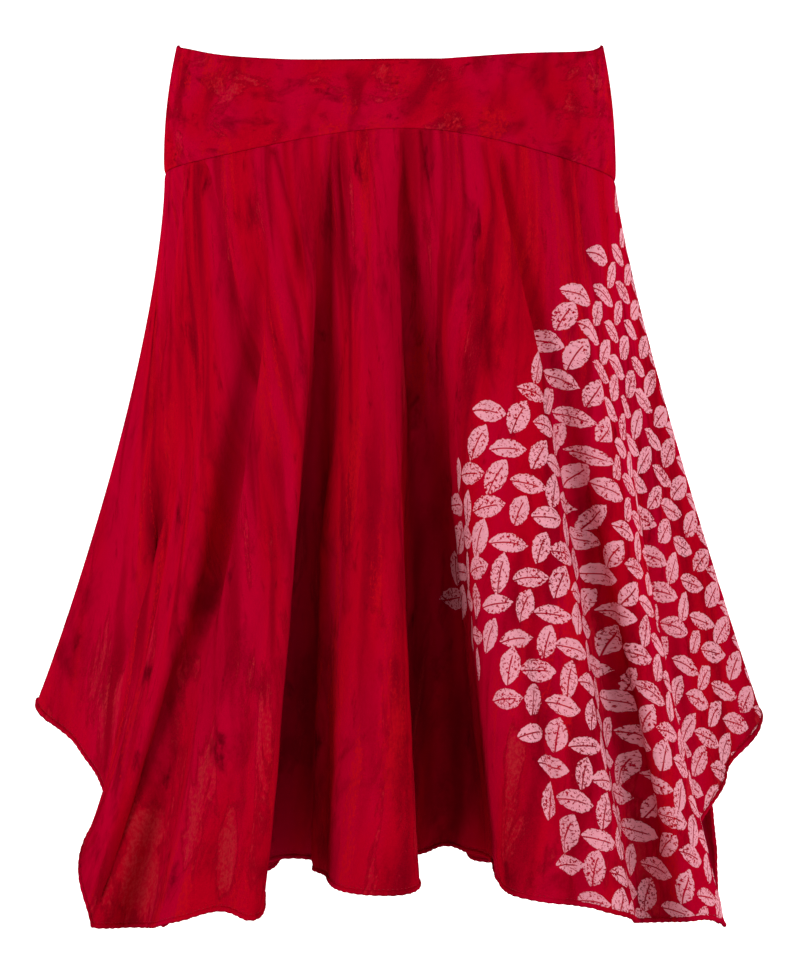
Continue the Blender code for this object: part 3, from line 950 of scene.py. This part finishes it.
def panel_material():
    """The dyed cloth with the print."""
    graph, fall, color = dyed_jersey("panel_jersey_dyed", PANEL_DYE)
    color, dabs = add_print(graph, color)
    return finish_cloth(graph, fall, color, dabs)


def plain_material(name, dye):
    """The dyed cloth without a print."""
    return finish_cloth(*dyed_jersey(name, dye))


def thread_material():
    """Crimson sewing thread, with painted shade in noise patches that stand for the grooves where its plies
    meet.
    """
    graph = Graph("sewing_thread")
    spot = graph.node("TexCoord", {}).outputs["Object"]
    ply = 1 / (PLY_SIZE * MM)
    painted_ply_shade = graph.noise(graph.scaled(spot, ply, ply, ply), detail=2)
    # The darker colour is painted shade of the grooves between the plies, in noise patches.
    color = graph.blend(graph.band(painted_ply_shade, PLY_FROM, PLY_TO), THREAD_PAINTED_SHADE, THREAD_RED)
    graph.feed(graph.surface.inputs["Base Color"], color)
    graph.surface.inputs["Roughness"].default_value = THREAD_ROUGHNESS
    graph.surface.inputs["Specular IOR Level"].default_value = THREAD_GLOSS
    return graph.material


def yoke_shell(name, start, end, cloth, material):
    """A yoke's shell, whose upper edge stands a little higher in places."""
    arounds = np.linspace(start, end, YOKE_COLUMNS + 1)
    downs = shares_with_lips(YOKE_DEPTH, YOKE_ROWS)
    points = np.array([[yoke_point(around, down) for around in arounds] for down in downs])
    lift = sum(
        swell.height * np.exp(-(((arounds - swell.around) / swell.width) ** 2)) for swell in WAIST_SWELLS
    )
    points[:, :, 2] += lift * (1 - downs[:, None]) ** 2
    normals = grid_normals(points)
    across = running(points, 1)
    drop = running(points, 0)
    to_seam = drop[-1:] - drop
    to_side = np.minimum(across, across[:, -1:] - across)
    relief = YOKE_WANDER * wander(across, drop, cloth)
    relief *= smooth_step(to_seam / SEAM_FADE)
    relief *= smooth_step(to_side / SEAM_FADE)
    relief += seam_ditch(to_seam) + seam_ditch(to_side)
    points = points + normals * relief[:, :, None]
    fall = cloth_places(across, drop, cloth)
    return shell(name, points, grid_normals(points), YOKE_CLOTH, fall, fall, material)


# The stage: a round floor under the skirt that bends up into a wall all round it, in metres
FLOOR_HEIGHT = -0.86
FLOOR_RADIUS = 3.4
FLOOR_STEPS = 4
STAGE_BEND = 1.3
STAGE_BEND_STEPS = 14
STAGE_TOP = 3.0
STAGE_SIDES = 96
MERGE_DISTANCE = 0.0001

# The stage's paper, and how brightly it glows: behind the skirt, and all round it. Each glow grows over a
# range, of the distance behind the skirt's middle or of that from it.
PAPER = (0.60, 0.60, 0.60, 1.0)
PAPER_ROUGHNESS = 0.9
WHITE = (1.0, 1.0, 1.0, 1.0)
GLOW_BEHIND = 0.95
GLOW_BEHIND_RANGE = (0.2, 1.0)
GLOW_AROUND = 0.24
GLOW_AROUND_RANGE = (0.9, 3.0)

# The lamps: where each stands, in metres, how wide it is, and its power in watts. All aim at one point.
Lamp = namedtuple("Lamp", "name at size watts")
LAMPS_AIM = (0.0, 0.0, -0.35)
LAMPS = [
    Lamp("key", (-2.3, -1.95, 0.4), 1.3, 42),
    Lamp("fill", (2.4, -1.85, 0.4), 1.3, 36),
    Lamp("back_left", (-1.9, 2.3, 0.5), 1.2, 20),
    Lamp("back_right", (1.9, 2.3, 0.5), 1.2, 24),
]
WORLD_LIGHT = 0.05

# The camera's place in metres, its focal length and sensor width, and how near it sees, in metres
CAMERA_AT = (0.0076, -2.0, -0.3368)
CAMERA_LENS = 97.03
CAMERA_SENSOR = 36.0
CAMERA_NEAR = 0.05


def stage_material():
    """Pale paper. It glows a little, more behind the skirt than in front of it."""
    graph = Graph("studio_paper")
    surface = graph.surface
    surface.inputs["Base Color"].default_value = PAPER
    surface.inputs["Roughness"].default_value = PAPER_ROUGHNESS
    surface.inputs["Emission Color"].default_value = WHITE
    spot = graph.node("TexCoord", {}).outputs["Object"]
    x, y, _ = graph.parts(spot)
    square = graph.math("ADD", graph.math("MULTIPLY", x, x), graph.math("MULTIPLY", y, y))
    away = graph.math("SQRT", square)
    behind = graph.math("MULTIPLY", graph.band(y, *GLOW_BEHIND_RANGE), GLOW_BEHIND)
    around = graph.math("MULTIPLY", graph.band(away, *GLOW_AROUND_RANGE), GLOW_AROUND)
    graph.feed(surface.inputs["Emission Strength"], graph.math("MAXIMUM", behind, around))
    graph.material.cycles.emission_sampling = "NONE"
    return graph.material


def stage():
    """A pale floor that rises all round the skirt in one smooth sweep."""
    profile = [(FLOOR_RADIUS * share, FLOOR_HEIGHT) for share in np.linspace(0, 1, FLOOR_STEPS + 1)]
    for turn in np.linspace(0, math.pi / 2, STAGE_BEND_STEPS + 1)[1:]:
        rise = STAGE_BEND * (1 - math.cos(turn))
        profile.append((FLOOR_RADIUS + STAGE_BEND * math.sin(turn), FLOOR_HEIGHT + rise))
    profile.append((FLOOR_RADIUS + STAGE_BEND, STAGE_TOP))
    sweep = bmesh.new()
    spokes = [sweep.verts.new((radius, 0.0, z)) for radius, z in profile]
    edges = [sweep.edges.new(pair) for pair in zip(spokes, spokes[1:])]
    bmesh.ops.spin(sweep, geom=spokes + edges, axis=(0, 0, 1), cent=(0, 0, 0), angle=2 * math.pi,
                   steps=STAGE_SIDES, use_merge=True)
    bmesh.ops.remove_doubles(sweep, verts=sweep.verts, dist=MERGE_DISTANCE)
    bmesh.ops.recalc_face_normals(sweep, faces=sweep.faces)
    mesh = bpy.data.meshes.new("floor")
    sweep.to_mesh(mesh)
    sweep.free()
    mesh.shade_smooth()
    mesh.materials.append(stage_material())
    floor = bpy.data.objects.new("floor", mesh)
    bpy.context.scene.collection.objects.link(floor)


def soft_light(lamp):
    light = bpy.data.lights.new(lamp.name, "AREA")
    light.shape = "SQUARE"
    light.size = lamp.size
    light.energy = lamp.watts
    holder = bpy.data.objects.new(lamp.name, light)
    bpy.context.scene.collection.objects.link(holder)
    holder.location = lamp.at
    holder.rotation_euler = (Vector(LAMPS_AIM) - Vector(lamp.at)).to_track_quat("-Z", "Y").to_euler()


def lights():
    """The lamps, and a faint even light from all round."""
    for lamp in LAMPS:
        soft_light(lamp)
    world = bpy.data.worlds.new("studio")
    bpy.context.scene.world = world
    world.use_nodes = True
    background = world.node_tree.nodes["Background"]
    background.inputs["Color"].default_value = WHITE
    background.inputs["Strength"].default_value = WORLD_LIGHT


def camera():
    """A level camera straight in front, at the photograph's distance and height."""
    data = bpy.data.cameras.new("camera")
    data.sensor_width = CAMERA_SENSOR
    data.lens = CAMERA_LENS
    data.clip_start = CAMERA_NEAR
    holder = bpy.data.objects.new("camera", data)
    bpy.context.scene.collection.objects.link(holder)
    holder.location = CAMERA_AT
    holder.rotation_euler = (math.pi / 2, 0.0, 0.0)
    bpy.context.scene.camera = holder


def build():
    panel_cloth = panel_material()
    yoke_cloth = plain_material("yoke_jersey_dyed", YOKE_DYE)
    hem_cloth = plain_material("hem_jersey_dyed", PANEL_DYE)
    thread = thread_material()
    for side, first, last, creases, cloth, cut in (
        ("front", 0, RIGHT_SEAM_LINE, FRONT_CREASES, FRONT_PANEL, FRONT_CUT),
        ("back", RIGHT_SEAM_LINE, len(FOLDS), BACK_CREASES, BACK_PANEL, BACK_CUT),
    ):
        panel, edge = panel_shell(side + "_panel_cloth", first, last, creases, cloth, panel_cloth)
        roll = hem_roll(side + "_hem", edge, cloth, hem_cloth)
        stitches = stitch_row(side + "_hem_stitches", edge, thread)
        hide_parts(side + "_panel")
    for side, start, end, cloth, cut in (
        ("front", LEFT_SIDE, RIGHT_SIDE, FRONT_YOKE, FRONT_YOKE_CUT),
        ("back", RIGHT_SIDE, LEFT_SIDE + 360, BACK_YOKE, BACK_YOKE_CUT),
    ):
        yoke = yoke_shell(side + "_yoke_cloth", start, end, cloth, yoke_cloth)
        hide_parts(side + "_yoke")
    stage()
    lights()
    camera()
    bpy.context.scene.view_settings.view_transform = "Standard"


build()
